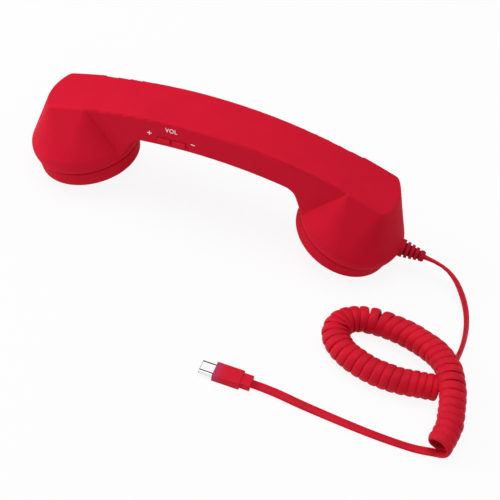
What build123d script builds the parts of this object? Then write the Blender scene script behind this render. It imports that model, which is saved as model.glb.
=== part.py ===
from build123d import *
from math import asin, cos, degrees, radians, sin, sqrt, tan
import os

os.makedirs("parts", exist_ok=True)

# A telephone handset that stands on its two caps. X runs along the handle with the
# ear end at -X and the mouth end at +X, Z is up, and the table is at zero.

# The arched handle
STRIP_RADIUS = 286.0  # curve of the flat top strip, seen from the side
HANDLE_WIDTH = 31.2
HANDLE_DEPTH = 16.2
WALL = 2.2
TOP_EDGE = 1.4  # rounding of the strip's edge
UNDER_EDGE = 1.6  # rounding of the handle's lower edges
TRIM = 1.5  # how far a rough form stands out before it is cut to the strip

# The two heads, each square to the strip at this distance from the middle
HEAD_X = 86.0
HEAD_HEIGHT = 45.0  # from the strip to the cap's face, along the head's axis
HEAD_FLAT = 21.8  # straight part of the strip's side edge over a head
HEAD_INNER = 13.6  # from the head's axis to the inner corner of the strip's flat
END_BULGE = 4.9  # how far the rounded end of the strip stands out
END_CORNER = 3.0
APEX_CORNER = 1.0
RIM_RADIUS = 29.9  # widest circle of a head
RIM_HEIGHT = 14.6
SHOULDER_INSET = 0.3  # from the rim in to the circle where a head's loft starts
SHOULDER_HEIGHT = 18.6
SHOULDER_EDGE = 6.0
THROAT_COVER = 2.44  # how deep the edges of a head's inner wall start inside the rim
THROAT_PROUD = 1.09  # how far that wall stands out past the shoulder where it crosses it
THROAT_RADIUS = 9.0
THROAT_SLANT = 1.2  # how far the throat's corner moves for each millimetre of wall
STIFFENER_X = 22.0  # the first rib under the strip
STIFFENER_END = 1.6  # from the last one to the throat
STIFFENER_THICKNESS = 1.2
STIFFENER_DEPTH = 3.0

# The caps
SEAM_HEIGHT = 9.4
SEAM_INSET = 1.6  # from the rim in to the seam
SEAM_GAP = 0.3
SEAM_BEVEL = 0.4
CAP_TAPER = 0.8  # from the seam in to the face
FACE_EDGE = 3.5
FACE_PLATE = 2.0
FACE_DISH = 1.2
FACE_BORDER = 6.5  # flat ring round the dish
SPIGOT_HEIGHT = 4.0
SPIGOT_WALL = 1.4
FIT = 0.15  # clearance of pieces that are pushed together
SLIP = 0.1  # clearance of pieces that sit inside one another
EAR_HOLE = 1.0
EAR_RINGS = 2
EAR_RING_PITCH = 5.6
MOUTH_HOLE = 0.8
MOUTH_RINGS = 1
MOUTH_RING_PITCH = 3.2
RING_HOLES = 6  # how many more holes each ring has than the one inside it

# Ear end: the speaker
FELT = 0.5
SPEAKER_RADIUS = 18.0
SPEAKER_LIP = 2.4
SPEAKER_RIM = 1.6
SPEAKER_DEPTH = 6.0
SPEAKER_SHEET = 0.9
SPEAKER_WINDOW = 1.9
SPEAKER_WINDOWS = 6
SPEAKER_BACK = 2.0  # how far the frame's flat back stands out past the magnet
MAGNET_RADIUS = 10.0
MAGNET_HEIGHT = 6.5
CONE_SHEET = 0.4
CONE_HINGE = 2.0  # flat edge of the diaphragm
CONE_DEPTH = 2.2
DOME_DEPTH = 1.4
DOME_SHARE = 0.55  # the dome's radius as a share of the magnet's
RIB = 1.4  # thickness of the rings that locate the pieces in a cap
RIB_HEIGHT = 4.4

# Mouth end: the microphone and the steel weight
CAPSULE_RADIUS = 4.8
CAPSULE_HEIGHT = 4.6
BOOT_WALL = 1.5
BOOT_FRONT = 0.8
BOOT_PORT = 2.0
WEIGHT_BORDER = 5.05  # from the weight out to the spigot
WEIGHT_HEIGHT = 6.0

# Board, switches and keys in the ear half of the handle
BOARD_THROAT = 22.6  # from the ear end's throat to the board's middle
BOARD_LENGTH = 48.0
BOARD_SIDE = 2.9  # from the board out to the side wall
BOARD_THICKNESS = 1.0
BOARD_DEPTH = 9.75  # from the strip down to the board's upper face
BOARD_SCREW_PITCH = 38.0
KEY_TRAVEL = 0.4
KEY_SPARE = 0.1
KEY_LENGTH = 7.2
KEY_HEIGHT = 2.9
KEY_PITCH = 8.4
KEY_OFFSET = -2.7  # of the pair's middle from the board's middle
KEY_PROUD = 0.7
KEY_GAP = 0.3
KEY_EDGE = 0.4
FLANGE = 0.7
FLANGE_LIP = 0.45
SWITCH_LENGTH = 6.0
SWITCH_HEIGHT = 2.4
SWITCH_BODY = 3.4
PLUNGER = 0.7
PLUNGER_WIDTH = 2.6
ANSWER_RADIUS = 4.5
ANSWER_PROUD = 0.8
ANSWER_LIP = 1.4
ANSWER_SWITCH = 6.0
ANSWER_PLUNGER = 0.4
ANSWER_PLUNGER_RADIUS = 1.7

# The inner cover and the screws
COVER_END = 6.6  # from the cover's end to the throat
TONGUE_LENGTH = 2.6
TONGUE_THICKNESS = 1.0
COVER_SCREW_X = 12.0
COVER_SCREW_END = 5.0  # from the last screw to the cover's end
BOSS_RADIUS = 2.8
SCREW_RADIUS = 1.0
SCREW_HEAD_RADIUS = 2.0
SCREW_HEAD = 1.1
SCREW_BITE = 4.5
SCREW_PLAY = 0.05
SCREW_HOLE = 0.2  # clearance round a screw in the piece that it holds
SINK = 0.1  # how far a cover screw's head lies below the surface
CROSS_SHARE = 0.6  # the length of a screw's cross as a share of its head

# The strain relief on the mouth end
RELIEF_DROP = 6.0  # degrees below level
RELIEF_HEIGHT = 16.4  # of its axis at the wall, along the head's axis
RELIEF_LENGTH = 13.4
RELIEF_ROOT = 5.0
RELIEF_TIP = 3.1
RELIEF_CORE = 0.7  # a groove's radius as a share of the rib's
RELIEF_RIBS = 5
RIB_SHARE = 0.62  # a rib's share of the pitch
RELIEF_NECK = 3.4
RELIEF_RECESS = 1.2  # depth of the seat in the wall's outside
RELIEF_REACH = 4.5  # from the outside to the flange behind the wall
RELIEF_FLANGE = 5.2
RELIEF_FLANGE_THICKNESS = 1.6

# The wires inside
WIRE_RADIUS = 0.45
WIRE_PITCH = 1.3
WIRE_RISE = 3.0  # how high a wire rises from the board before it turns
WIRE_MARGIN = 1.2  # from the board's end to the wires' joints
WIRE_SIDE = 2.8  # from a screw boss to the nearest wire that passes it
WIRE_DEPTH = 7.6  # below the strip, along the handle
# Where the wires pass through the heads: out from the head's axis and down from its top
SPEAKER_WIRE_ROUTE = [(-17.0, 19.0), (-30.0, 8.5)]
MICROPHONE_WIRE_ROUTE = [(0.0, 27.0), (-16.0, 13.0)]
CORD_WIRE_ROUTE = [(4.0, 20.0), (-16.0, 11.0)]
WIRE_RUN = (1.0, 0.25)  # ends of the straight run in the handle, as shares of the throat's place
CORD_WIRES = 4

# The cord
CORD_WIDTH = 4.4
CORD_THICKNESS = 2.2
CURL_DIAMETER = 15.0
LEAD_POINTS = [
    (119.24, 0.0, 12.63),
    (128.69, 0.0, 11.64),
    (138.3, -3.6, 8.4),
    (146.2, -12.6, 4.4),
    (150.8, -23.6, 2.3),
    (153.0, -35.8, 1.5),
    (153.4, -48.6, 1.5),
    (149.6, -63.4, 1.5),
    (142.8, -76.6, 1.5),
]
CURL_POINTS = [
    (143.6, -81.4, 7.5),
    (131.8, -84.2, 7.5),
    (118.0, -84.8, 7.5),
    (104.6, -81.6, 7.5),
    (92.4, -74.8, 7.5),
    (87.4, -63.6, 7.5),
    (94.8, -53.6, 7.5),
    (108.0, -50.4, 7.5),
    (122.0, -51.8, 7.6),
    (135.6, -57.0, 9.0),
    (147.4, -65.8, 11.4),
    (154.6, -78.2, 12.4),
    (158.2, -91.4, 11.0),
    (159.4, -104.6, 8.2),
    (156.0, -117.4, 7.5),
]
TAIL_POINTS = [
    (153.6, -116.2, 1.2),
    (143.2, -118.2, 1.2),
    (126.0, -118.0, 1.2),
    (104.0, -116.1, 1.2),
    (84.0, -114.0, 1.2),
    (70.9, -113.3, 2.5),
    (60.1, -113.3, 2.5),
]

# The plug, which lies flat with its mouth towards -X
PLUG_Y = -113.3
PLUG_MOUTH_X = 33.1
SHELL_WIDTH = 8.34
SHELL_HEIGHT = 2.56
SHELL_SHEET = 0.3
SHELL_REACH = 7.2
SHELL_ROOT = 5.0
INSERT_RECESS = 0.6
INSERT_SLOT = 0.9
INSERT_SLOT_WIDTH = 6.7
INSERT_SLOT_DEPTH = 5.6
CONTACTS = 12
CONTACT_PITCH = 0.5
CONTACT_WIDTH = 0.26
CONTACT_THICKNESS = 0.1
GRIP_LENGTH = 14.6
GRIP_WIDTH = 10.4
GRIP_HEIGHT = 5.0
GRIP_EDGE = 1.3
COLLAR_LENGTH = 5.2
COLLAR_WIDTH = 8.2
COLLAR_HEIGHT = 4.0
COLLAR_EDGE = 0.9

# Worked out from the sizes above
TILT = asin(HEAD_X / STRIP_RADIUS)
HALF_WIDTH = HANDLE_WIDTH / 2
INSIDE = HALF_WIDTH - WALL
UNDERSIDE_RADIUS = STRIP_RADIUS - HANDLE_DEPTH
SHOULDER_RADIUS = RIM_RADIUS - SHOULDER_INSET
SEAM_RADIUS = RIM_RADIUS - SEAM_INSET
FACE_RADIUS = SEAM_RADIUS - CAP_TAPER
DISH_RADIUS = FACE_RADIUS - FACE_BORDER
FACE_Z = (FACE_RADIUS - FACE_EDGE) * sin(TILT) + FACE_EDGE * (1 - cos(TILT))
FACE_X = HEAD_X - HEAD_HEIGHT * sin(TILT)
ARC_Z = FACE_Z + (HEAD_HEIGHT - STRIP_RADIUS) * cos(TILT)
CONE_SLOPE = (SEAM_RADIUS - FACE_RADIUS) / SEAM_HEIGHT
SHELL_FOOT = SEAM_HEIGHT + SEAM_GAP / 2
CAP_TOP = SEAM_HEIGHT - SEAM_GAP / 2
# A head's inner wall, seen from the side: out from the axis it runs from the inset at the
# shell's foot, by the slope, to the throat, where it meets the underside.
THROAT_INSET = sqrt((RIM_RADIUS - THROAT_COVER) ** 2 - HALF_WIDTH**2)
THROAT_SLOPE = (SHOULDER_RADIUS + THROAT_PROUD - THROAT_INSET) / (SHOULDER_HEIGHT - SHELL_FOOT)
THROAT_START = THROAT_INSET - THROAT_SLOPE * (SHELL_FOOT + STRIP_RADIUS - HEAD_HEIGHT)
THROAT_STEEP = 1 + THROAT_SLOPE**2
THROAT_ROOT = sqrt(UNDERSIDE_RADIUS**2 * THROAT_STEEP - THROAT_START**2)
THROAT_RISE = (THROAT_ROOT - THROAT_SLOPE * THROAT_START) / THROAT_STEEP
THROAT_SIDE = THROAT_START + THROAT_SLOPE * THROAT_RISE
THROAT_X = UNDERSIDE_RADIUS * sin(TILT - asin(THROAT_SIDE / UNDERSIDE_RADIUS))
BOARD_X = BOARD_THROAT - THROAT_X
PLATE_TOP = FACE_DISH + FACE_PLATE
SPIGOT_RADIUS = SEAM_RADIUS - WALL - FIT
SPIGOT_INSIDE = SPIGOT_RADIUS - SPIGOT_WALL
WEIGHT_RADIUS = SPIGOT_INSIDE - WEIGHT_BORDER
SPEAKER_FOOT = PLATE_TOP + FELT
BOOT_RADIUS = CAPSULE_RADIUS + SLIP + BOOT_WALL
BOARD_WIDTH = 2 * (INSIDE - BOARD_SIDE)
BOARD_UNDER = BOARD_DEPTH + BOARD_THICKNESS
BOARD_SAG = (BOARD_SCREW_PITCH / 2) ** 2 / (2 * STRIP_RADIUS)  # fall of the strip over a board boss
KEY_DEPTH = BOARD_UNDER + SWITCH_HEIGHT / 2
COVER_FACE = HANDLE_DEPTH - WALL
COVER_X = THROAT_X - COVER_END
COVER_SCREWS = (COVER_SCREW_X, COVER_X - COVER_SCREW_END)
STIFFENERS = (STIFFENER_X, THROAT_X - STIFFENER_END)
ANSWER_FLANGE_DEPTH = COVER_FACE - SLIP - FLANGE
RELIEF_BACK = RELIEF_REACH + RELIEF_FLANGE_THICKNESS
PLUG_AXIS_Z = GRIP_HEIGHT / 2
GRIP_X = PLUG_MOUTH_X + SHELL_REACH


def head_plane(side, height=0.0):
    """A plane across a head's axis: side is 1 for the mouth end and -1 for the ear end."""
    out = Vector(side * cos(TILT), 0, -sin(TILT))
    up = Vector(side * sin(TILT), 0, cos(TILT))
    origin = Vector(side * FACE_X, 0, FACE_Z) + up * height
    return Plane(origin=origin, x_dir=out, z_dir=up)


def handle_plane(x, depth=0.0):
    """A plane square to the strip's radius at x, that far below the strip."""
    angle = asin(x / STRIP_RADIUS)
    out = Vector(sin(angle), 0, cos(angle))
    origin = Vector(0, 0, ARC_Z) + out * (STRIP_RADIUS - depth)
    return Plane(origin=origin, x_dir=(cos(angle), 0, -sin(angle)), z_dir=out)


def arc_point(radius, x):
    """The point at x on a circle round the arch's centre, in the side view."""
    return (x, ARC_Z + sqrt(radius * radius - x * x))


def side_arc(radius, x_from, x_to):
    """An arc round the arch's centre between two x, in the side view."""
    middle = arc_point(radius, (x_from + x_to) / 2)
    return ThreePointArc(arc_point(radius, x_from), middle, arc_point(radius, x_to))


def from_side(face, half_width):
    """A solid from a face drawn in the side view, equally wide to both sides."""
    return extrude(Plane.XZ * face, amount=half_width, both=True)


def arch_band(outer, inner, x_from, x_to, half_width):
    """A curved slab between two radii of the arch, with ends square to the arch."""
    x_start, x_end = x_from * inner / outer, x_to * inner / outer
    edges = [
        side_arc(outer, x_from, x_to),
        Line(arc_point(outer, x_to), arc_point(inner, x_end)),
        side_arc(inner, x_end, x_start),
        Line(arc_point(inner, x_start), arc_point(outer, x_from)),
    ]
    return from_side(make_face(edges), half_width)


def turned(plane, points):
    """A body turned about a plane's normal from a closed profile of (radius, height)."""
    profile = Plane.XZ * make_face(Polyline(*points, close=True))
    return plane * revolve(profile, Axis.Z)


def ring(plane, outer, inner, low, high):
    """A ring or, with no inner radius, a disc, between two heights over a plane."""
    base = (Align.CENTER, Align.CENTER, Align.MIN)
    body = Cylinder(outer, high - low, align=base)
    if inner:
        body -= Cylinder(inner, high - low, align=base)
    return plane * (Pos(0, 0, low) * body)


def block(plane, x, y, z):
    """A box over a plane, from pairs of low and high values."""
    size = (x[1] - x[0], y[1] - y[0], z[1] - z[0])
    middle = ((x[0] + x[1]) / 2, (y[0] + y[1]) / 2, (z[0] + z[1]) / 2)
    return plane * (Pos(*middle) * Box(*size))


def head_point(side, along, height):
    """A point of the side view from a head's own axes."""
    spot = head_plane(side, height).from_local_coords(Vector(along, 0, 0))
    return (spot.X, spot.Z)


def slab(inset, foot):
    """The handle's slab with its two throats, smaller by an inset and not yet cut to the strip."""
    top = STRIP_RADIUS + TRIM
    under = UNDERSIDE_RADIUS + inset
    reach = HEAD_X * top / STRIP_RADIUS
    throat = THROAT_X + inset * THROAT_SLANT
    edges = [side_arc(top, -reach, reach), side_arc(under, -throat, throat)]
    for side in (1, -1):
        points = [
            arc_point(top, side * reach),
            head_point(side, 0, foot),
            head_point(side, -THROAT_INSET + inset, foot),
            arc_point(under, side * throat),
        ]
        edges += [Line(a, b) for a, b in zip(points, points[1:])]
    face = make_face(edges)
    level = arc_point(under, throat)[1]
    corners = [v for v in face.vertices() if abs(v.Y - level) < 0.01 and abs(abs(v.X) - throat) < 0.01]
    face = fillet(corners, THROAT_RADIUS - inset)
    return from_side(face, HALF_WIDTH - inset)


def strip_end(inset):
    """The outline of the strip's flat over a head: straight sides and a bulged end."""
    left = -HEAD_INNER + inset
    right = HEAD_FLAT - HEAD_INNER - inset
    half = HALF_WIDTH - inset
    edges = [
        Line((left, -half), (right, -half)),
        ThreePointArc((right, -half), (right + END_BULGE, 0), (right, half)),
        Line((right, half), (left, half)),
        Line((left, half), (left, -half)),
    ]
    face = make_face(edges)
    face = fillet([v for v in face.vertices() if v.X > 0], END_CORNER)
    return fillet([v for v in face.vertices() if abs(v.X - left) < 0.01], APEX_CORNER)


def split_circle(radius, angles):
    """A circle made of arcs that end at the given angles."""
    arcs = []
    for start, end in zip(angles, angles[1:] + [angles[0] + 360]):
        arcs.append(CenterArc((0, 0), radius, start, end - start))
    return Wire(arcs)


def head_form(side, inset, foot):
    """One head: a turned rim, then a loft from its circle to the strip's end.

    The circle is cut where its direction matches the outline's corners, so that each
    corner of the strip fans out over a wide arc and each straight side over a narrow one."""
    fan = degrees(asin(END_BULGE / HALF_WIDTH))
    angles = [-86, -fan, fan, 86, 94, 174, 186, 266]
    shoulder = SHOULDER_RADIUS - inset
    sections = [
        head_plane(side, SHOULDER_HEIGHT) * Face(split_circle(shoulder, angles)),
        head_plane(side, HEAD_HEIGHT - inset) * Face(strip_end(inset).face().outer_wire()),
    ]
    upper = loft(sections, ruled=True) + extrude(sections[1], amount=2 * TRIM + inset)
    start, end = (SEAM_RADIUS - inset, foot), (shoulder, SHOULDER_HEIGHT)
    curve = ThreePointArc(start, (RIM_RADIUS - inset, RIM_HEIGHT), end)
    rest = Polyline(end, (0, SHOULDER_HEIGHT), (0, foot), start)
    lower = revolve(Plane.XZ * make_face([curve, *rest.edges()]), Axis.Z)
    return upper + head_plane(side) * lower


def whole_form(inset, foot):
    """Handle and heads in one body, cut to the strip's arch."""
    body = slab(inset, foot) + head_form(1, inset, foot) + head_form(-1, inset, foot)
    bar = Cylinder(STRIP_RADIUS - inset, 3 * HANDLE_WIDTH)
    return body & (Pos(0, 0, ARC_Z) * Rot(90, 0, 0) * bar)


def round_edges(body, radius):
    """The edges of a body that are arcs of a radius."""
    arcs = [e for e in body.edges() if e.geom_type == GeomType.CIRCLE]
    return [e for e in arcs if abs(e.radius - radius) < 0.01]


def rounded_form():
    """The outer form with its rims, strip edge and lower edges rounded."""
    body = whole_form(0, SHELL_FOOT)
    body = fillet(round_edges(body, SHOULDER_RADIUS), SHOULDER_EDGE)
    body = fillet(round_edges(body, UNDERSIDE_RADIUS), UNDER_EDGE)
    strips = [f for f in body.faces() if f.geom_type == GeomType.CYLINDER]
    return fillet(max(strips, key=lambda f: f.area).edges(), TOP_EDGE)


def key_places():
    """The two volume keys' middles along the board."""
    return {
        "volume_up_key": KEY_OFFSET - KEY_PITCH / 2,
        "volume_down_key": KEY_OFFSET + KEY_PITCH / 2,
    }


def boss(x, bottom):
    """A screw boss that hangs from the ceiling of the handle, with its pilot hole."""
    plane = handle_plane(x)
    solid = ring(plane, BOSS_RADIUS, 0, -bottom, -WALL / 2)
    hole = ring(plane, SCREW_RADIUS + SCREW_PLAY, 0, -bottom, -bottom + SCREW_BITE + SINK)
    return solid, hole


def board_bosses():
    """The two bosses over the board, in the board's own plane."""
    plane = handle_plane(BOARD_X)
    bosses, holes = [], []
    for x in (-BOARD_SCREW_PITCH / 2, BOARD_SCREW_PITCH / 2):
        spot = plane * Pos(x, 0, 0)
        place = Plane(spot)
        bosses.append(ring(place, BOSS_RADIUS, 0, -BOARD_DEPTH, -WALL / 2 - BOARD_SAG))
        top = -BOARD_DEPTH + SCREW_BITE + SINK
        holes.append(ring(place, SCREW_RADIUS + SCREW_PLAY, 0, -BOARD_DEPTH, top))
    return bosses, holes


def relief_plane():
    """The plane that the strain relief's axis leaves the mouth end through."""
    x, z = head_point(1, RIM_RADIUS, RELIEF_HEIGHT)
    drop = radians(RELIEF_DROP)
    return Plane(origin=(x, 0, z), x_dir=(0, 1, 0), z_dir=(cos(drop), 0, -sin(drop)))


def handset_shell(outer_form, inner_form):
    """The one-piece outer moulding: walls, bosses, ribs, and openings for keys and cord."""
    shell = outer_form - inner_form
    window_x = COVER_X + FIT
    shell -= arch_band(UNDERSIDE_RADIUS + WALL, UNDERSIDE_RADIUS - TRIM, -window_x, window_x, INSIDE)
    bosses, holes = board_bosses()
    for x in COVER_SCREWS:
        solid, hole = boss(x, COVER_FACE)
        bosses.append(solid)
        holes.append(hole)
    for x in STIFFENERS:
        half = STIFFENER_THICKNESS / 2
        depth = (-WALL - STIFFENER_DEPTH, -WALL / 2)
        bosses.append(block(handle_plane(x), (-half, half), (-INSIDE, INSIDE), depth))
    for solid in bosses:
        shell += solid
    for hole in holes:
        shell -= hole
    board = handle_plane(BOARD_X)
    for x in key_places().values():
        half_x = KEY_LENGTH / 2 + KEY_GAP
        half_z = KEY_HEIGHT / 2 + KEY_GAP
        across = (-HALF_WIDTH - TRIM, -INSIDE + SLIP)
        shell -= block(board, (x - half_x, x + half_x), across, (-KEY_DEPTH - half_z, -KEY_DEPTH + half_z))
    shell -= ring(relief_plane(), RELIEF_NECK + FIT, 0, -RELIEF_REACH, TRIM)
    shell -= ring(relief_plane(), RELIEF_ROOT + FIT, 0, -RELIEF_RECESS, TRIM)
    foot = SEAM_RADIUS
    for side in (1, -1):
        bevel = [
            (foot + SEAM_BEVEL, SHELL_FOOT - SEAM_BEVEL),
            (foot + SEAM_BEVEL, SHELL_FOOT + SEAM_BEVEL),
            (foot, SHELL_FOOT + SEAM_BEVEL),
            (foot - SEAM_BEVEL, SHELL_FOOT),
            (foot - SEAM_BEVEL, SHELL_FOOT - SEAM_BEVEL),
        ]
        shell -= turned(head_plane(side), bevel)
    return shell


def sound_holes(radius, rings, pitch):
    """Drills through a cap: one in the middle and rings of ever more round it."""
    drill = Cylinder(radius, 4 * PLATE_TOP)
    drills = [drill]
    for i in range(1, rings + 1):
        drills += [place * drill for place in PolarLocations(i * pitch, i * RING_HOLES)]
    return drills


def cap(side, drills, ribs):
    """A dished cap with a spigot, sound holes and the rings that locate what it carries."""
    dish = ThreePointArc((0, FACE_DISH), (DISH_RADIUS / 2, FACE_DISH * 0.75), (DISH_RADIUS, 0))
    outline = Polyline(
        (DISH_RADIUS, 0),
        (FACE_RADIUS, 0),
        (SEAM_RADIUS - CONE_SLOPE * SEAM_BEVEL, CAP_TOP - SEAM_BEVEL),
        (SEAM_RADIUS - SEAM_BEVEL, CAP_TOP),
        (SPIGOT_RADIUS, CAP_TOP),
        (SPIGOT_RADIUS, CAP_TOP + SPIGOT_HEIGHT),
        (SPIGOT_INSIDE, CAP_TOP + SPIGOT_HEIGHT),
        (SPIGOT_INSIDE, PLATE_TOP),
        (0, PLATE_TOP),
        (0, FACE_DISH),
    )
    profile = make_face([dish, *outline.edges()])
    edge = [v for v in profile.vertices() if abs(v.X - FACE_RADIUS) < 0.01 and abs(v.Y) < 0.01]
    profile = fillet(edge, FACE_EDGE)
    body = revolve(Plane.XZ * profile, Axis.Z)
    for radius in ribs:
        body += ring(Plane.XY, radius + RIB, radius, PLATE_TOP, PLATE_TOP + RIB_HEIGHT)
    for drill in drills:
        body -= drill
    return head_plane(side) * body


def speaker_frame():
    """A round basket with a lip that lies on the felt and windows in its cone."""
    foot = SPEAKER_FOOT
    rear = MAGNET_RADIUS + SPEAKER_BACK
    lip = SPEAKER_RADIUS - SPEAKER_LIP
    top = foot + SPEAKER_DEPTH
    points = [
        (lip, foot),
        (SPEAKER_RADIUS, foot),
        (SPEAKER_RADIUS, foot + SPEAKER_RIM),
        (rear, top),
        (0, top),
        (0, top - SPEAKER_SHEET),
        (rear - SPEAKER_SHEET / 2, top - SPEAKER_SHEET),
        (lip, foot + SPEAKER_RIM + SPEAKER_SHEET / 2),
    ]
    body = turned(Plane.XY, points)
    middle = (rear + SPEAKER_RADIUS) / 2
    for window in PolarLocations(middle, SPEAKER_WINDOWS):
        body -= ring(Plane(window), SPEAKER_WINDOW, 0, foot + SPEAKER_RIM, top)
    return head_plane(-1) * body


def speaker_cone():
    """The thin diaphragm: a shallow cone with a flat edge and a small dome."""
    foot = SPEAKER_FOOT + SPEAKER_RIM / 2
    edge = SPEAKER_RADIUS - SPEAKER_LIP - SLIP
    neck = MAGNET_RADIUS * DOME_SHARE
    line = [(edge, foot), (edge - CONE_HINGE, foot), (neck, foot + CONE_DEPTH), (0, foot + DOME_DEPTH)]
    back = [(r, h + CONE_SHEET) for r, h in reversed(line)]
    return turned(head_plane(-1), line + back)


def microphone_boot():
    """A rubber cup round the capsule, open at its port."""
    foot = PLATE_TOP + FELT
    back = foot + BOOT_FRONT + CAPSULE_HEIGHT + SLIP
    seat = CAPSULE_RADIUS + SLIP
    points = [
        (BOOT_PORT, foot),
        (BOOT_RADIUS, foot),
        (BOOT_RADIUS, back),
        (seat, back),
        (seat, foot + BOOT_FRONT),
        (BOOT_PORT, foot + BOOT_FRONT),
    ]
    return turned(head_plane(1), points)


def circuit_board():
    """The board with the clearance holes of its two screws."""
    plane = handle_plane(BOARD_X)
    half_x, half_y = BOARD_LENGTH / 2, BOARD_WIDTH / 2
    body = block(plane, (-half_x, half_x), (-half_y, half_y), (-BOARD_UNDER, -BOARD_DEPTH))
    for x in (-BOARD_SCREW_PITCH / 2, BOARD_SCREW_PITCH / 2):
        place = Plane(plane * Pos(x, 0, 0))
        body -= ring(place, SCREW_RADIUS + SCREW_HOLE, 0, -BOARD_UNDER, -BOARD_DEPTH)
    return body


def volume_key(x):
    """A volume key: a rounded bar through the side wall with a flange behind it."""
    plane = handle_plane(BOARD_X)
    half_x, half_z = KEY_LENGTH / 2, KEY_HEIGHT / 2
    back = -INSIDE + SLIP + FLANGE
    front = -HALF_WIDTH - KEY_PROUD
    bar = Box(KEY_LENGTH, back - front, KEY_HEIGHT)
    outer = [e for e in bar.edges() if abs(e.center().Y + (back - front) / 2) < 0.01]
    sides = bar.edges().filter_by(Axis.Y)
    bar = fillet([*outer, *sides], KEY_EDGE)
    bar = plane * (Pos(x, (back + front) / 2, -KEY_DEPTH) * bar)
    lip_x, lip_z = half_x + FLANGE_LIP, half_z + FLANGE_LIP
    across = (-INSIDE + SLIP, back)
    return bar + block(plane, (x - lip_x, x + lip_x), across, (-KEY_DEPTH - lip_z, -KEY_DEPTH + lip_z))


def volume_switch(x):
    """A side-pushed switch under the board's edge, with its plunger towards the key."""
    plane = handle_plane(BOARD_X)
    tip = -INSIDE + SLIP + FLANGE + KEY_TRAVEL + KEY_SPARE
    front = tip + PLUNGER
    half_x = SWITCH_LENGTH / 2
    depth = (-BOARD_UNDER - SWITCH_HEIGHT, -BOARD_UNDER)
    body = block(plane, (x - half_x, x + half_x), (front, front + SWITCH_BODY), depth)
    reach = (-KEY_DEPTH - PLUNGER, -KEY_DEPTH + PLUNGER)
    return body + block(plane, (x - PLUNGER_WIDTH / 2, x + PLUNGER_WIDTH / 2), (tip, front), reach)


def answer_key():
    """The round key in the inner cover, with a flange inside."""
    plane = handle_plane(BOARD_X)
    bottom = -HANDLE_DEPTH - ANSWER_PROUD
    pin = Cylinder(ANSWER_RADIUS, -ANSWER_FLANGE_DEPTH - bottom)
    edge = [e for e in pin.edges().filter_by(GeomType.CIRCLE) if e.center().Z < 0]
    pin = fillet(edge, ANSWER_PROUD * 0.6)
    pin = plane * (Pos(0, 0, (bottom - ANSWER_FLANGE_DEPTH) / 2) * pin)
    lip = ANSWER_RADIUS + ANSWER_LIP
    return pin + ring(plane, lip, 0, -ANSWER_FLANGE_DEPTH - FLANGE, -ANSWER_FLANGE_DEPTH)


def answer_switch():
    """A flat switch under the board, with its plunger towards the key."""
    plane = handle_plane(BOARD_X)
    tip = ANSWER_FLANGE_DEPTH - KEY_TRAVEL - KEY_SPARE
    base = tip - ANSWER_PLUNGER
    half = ANSWER_SWITCH / 2
    body = block(plane, (-half, half), (-half, half), (-base, -BOARD_UNDER))
    return body + ring(plane, ANSWER_PLUNGER_RADIUS, 0, -tip, -base)


def inner_cover():
    """The cover of the handle's underside: a tongue at the ear end and two screws at the other."""
    half = INSIDE - FIT
    inner, outer = UNDERSIDE_RADIUS, UNDERSIDE_RADIUS + WALL
    cover = arch_band(outer, inner, -COVER_X, COVER_X, half)
    ends = (-COVER_X - TONGUE_LENGTH, -COVER_X + 2 * TONGUE_LENGTH)
    cover += arch_band(outer + TONGUE_THICKNESS, outer, *ends, half - FIT)
    cover -= ring(handle_plane(BOARD_X), ANSWER_RADIUS + KEY_GAP, 0, -HANDLE_DEPTH - TRIM, -COVER_FACE + TRIM)
    seat = HANDLE_DEPTH - SCREW_HEAD - SINK
    for x in COVER_SCREWS:
        plane = handle_plane(x)
        cover -= ring(plane, SCREW_RADIUS + SCREW_HOLE, 0, -HANDLE_DEPTH, -COVER_FACE + TRIM)
        cover -= ring(plane, SCREW_HEAD_RADIUS + SCREW_HOLE, 0, -HANDLE_DEPTH - TRIM, -seat)
    return cover


def screw(plane, seat, length):
    """A screw that points up through a plane, with a cross in its round head."""
    head = ring(plane, SCREW_HEAD_RADIUS, 0, -seat - SCREW_HEAD, -seat)
    cross = (-SCREW_HEAD_RADIUS * CROSS_SHARE, SCREW_HEAD_RADIUS * CROSS_SHARE)
    arm = (-SCREW_RADIUS / 4, SCREW_RADIUS / 4)
    depth = (-seat - SCREW_HEAD, -seat - SCREW_HEAD / 2)
    head -= block(plane, cross, arm, depth)
    head -= block(plane, arm, cross, depth)
    return head + ring(plane, SCREW_RADIUS, 0, -seat, -seat + length)


def board_screws():
    """The two screws that hold the board to its bosses."""
    plane = handle_plane(BOARD_X)
    places = [Plane(plane * Pos(x, 0, 0)) for x in (-BOARD_SCREW_PITCH / 2, BOARD_SCREW_PITCH / 2)]
    length = BOARD_THICKNESS + SCREW_BITE
    return Compound(children=[screw(p, BOARD_UNDER, length) for p in places])


def cover_screws():
    """The two screws that hold the inner cover to its bosses."""
    seat = HANDLE_DEPTH - SCREW_HEAD - SINK
    length = seat - COVER_FACE + SCREW_BITE
    return Compound(children=[screw(handle_plane(x), seat, length) for x in COVER_SCREWS])


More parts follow.
